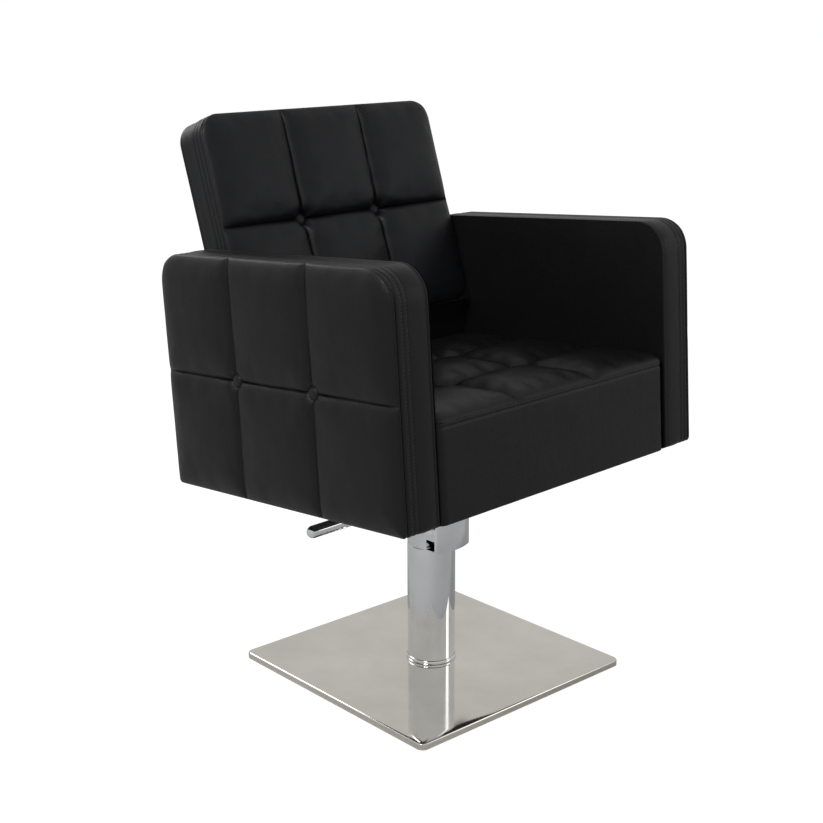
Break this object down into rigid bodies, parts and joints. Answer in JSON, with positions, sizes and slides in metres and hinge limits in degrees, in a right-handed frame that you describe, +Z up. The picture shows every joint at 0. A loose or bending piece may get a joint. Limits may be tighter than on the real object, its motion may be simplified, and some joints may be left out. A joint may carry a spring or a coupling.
{
  "type": "styling chair",
  "caption": "Hair salon styling chair: square black leather tub seat with tufted arms, seat and back, on a hydraulic column with a foot lever and a square steel base.",
  "frame": {"origin": "on the floor under the column's axis", "axes": "+Z up along the column; -Y towards the front, the way that the sitter faces; +X to the side away from the foot lever"},
  "size_m": [0.6786, 0.597, 0.9143],
  "materials": {
    "black_leather": "pebbled black upholstery leather, low sheen",
    "chrome": "polished chrome plate",
    "satin_stainless": "satin stainless steel",
    "inner_steel": "machined steel",
    "black_enamel": "black enamelled steel",
    "bronze": "machined bronze",
    "rubber": "black rubber",
    "plywood": "birch plywood",
    "black_board": "plywood stained black"
  },
  "bodies": {
    "base": {"floor_pad": "rubber", "base_plate": "inner_steel", "base_cover": "satin_stainless", "pump_bolt_1": "inner_steel", "pump_bolt_2": "inner_steel", "pump_bolt_3": "inner_steel", "column_sleeve": "chrome", "column_ring": "chrome", "pump_cylinder": "inner_steel", "pump_head": "chrome", "guide_bush": "bronze", "wiper_seal": "rubber", "lever_pin": "inner_steel", "plunger_spring": "inner_steel"},
    "lift": {"piston": "inner_steel", "piston_seal": "rubber"},
    "seat": {"mount_bolt_1": "inner_steel", "mount_bolt_2": "inner_steel", "mount_bolt_3": "inner_steel", "mount_bolt_4": "inner_steel", "arm_bolt_left_front": "inner_steel", "arm_bolt_left_rear": "inner_steel", "arm_bolt_right_front": "inner_steel", "arm_bolt_right_rear": "inner_steel", "back_bolt_left": "inner_steel", "back_bolt_right": "inner_steel", "bracket_bolt_left": "inner_steel", "bracket_bolt_right": "inner_steel", "ram": "chrome", "seat_mount_plate": "black_enamel", "back_bracket_left": "black_enamel", "back_bracket_right": "black_enamel", "seat_board": "black_board", "seat_rail_left": "plywood", "seat_rail_right": "plywood", "arm_frame_left": "plywood", "arm_frame_right": "plywood", "back_board": "plywood", "seat_cushion": "black_leather", "arm_cover_left": "black_leather", "arm_cover_right": "black_leather", "arm_pad_left": "black_leather", "arm_pad_right": "black_leather", "back_pad": "black_leather", "back_cover": "black_leather", "rear_panel": "black_leather", "inner_rear_panel": "black_leather", "back_button_left": "black_leather", "back_button_right": "black_leather", "seat_button_left_front": "black_leather", "seat_button_left_rear": "black_leather", "seat_button_right_front": "black_leather", "seat_button_right_rear": "black_leather", "arm_button_left_front": "black_leather", "arm_button_left_rear": "black_leather", "arm_button_right_front": "black_leather", "arm_button_right_rear": "black_leather"},
    "lever": {"lever_yoke": "chrome", "lever_rod": "chrome"},
    "plunger": {"pump_plunger": "inner_steel"}
  },
  "joints": [
    {"name": "lift_slide", "type": "slide", "parent": "base", "child": "lift", "axis": [0, 0, 1], "range_m": [0, 0.15]},
    {"name": "seat_swivel", "type": "hinge", "parent": "lift", "child": "seat", "pos_m": [0, 0, 0.3], "axis": [0, 0, 1], "continuous": true},
    {"name": "lever_hinge", "type": "hinge", "parent": "base", "child": "lever", "pos_m": [0.036, 0, 0.301], "axis": [0, -1, 0], "range_deg": [0, 13], "stiffness_Nm_per_rad": 8, "springref_deg": -17.19},
    {"name": "plunger_slide", "type": "slide", "parent": "base", "child": "plunger", "axis": [0, 0, -1], "range_m": [0, 0.0165], "deforming": ["plunger_spring"]}
  ],
  "couplings": [
    {"joint": "plunger_slide", "follows": "lever_hinge", "m_per_rad": 0.071}
  ]
}
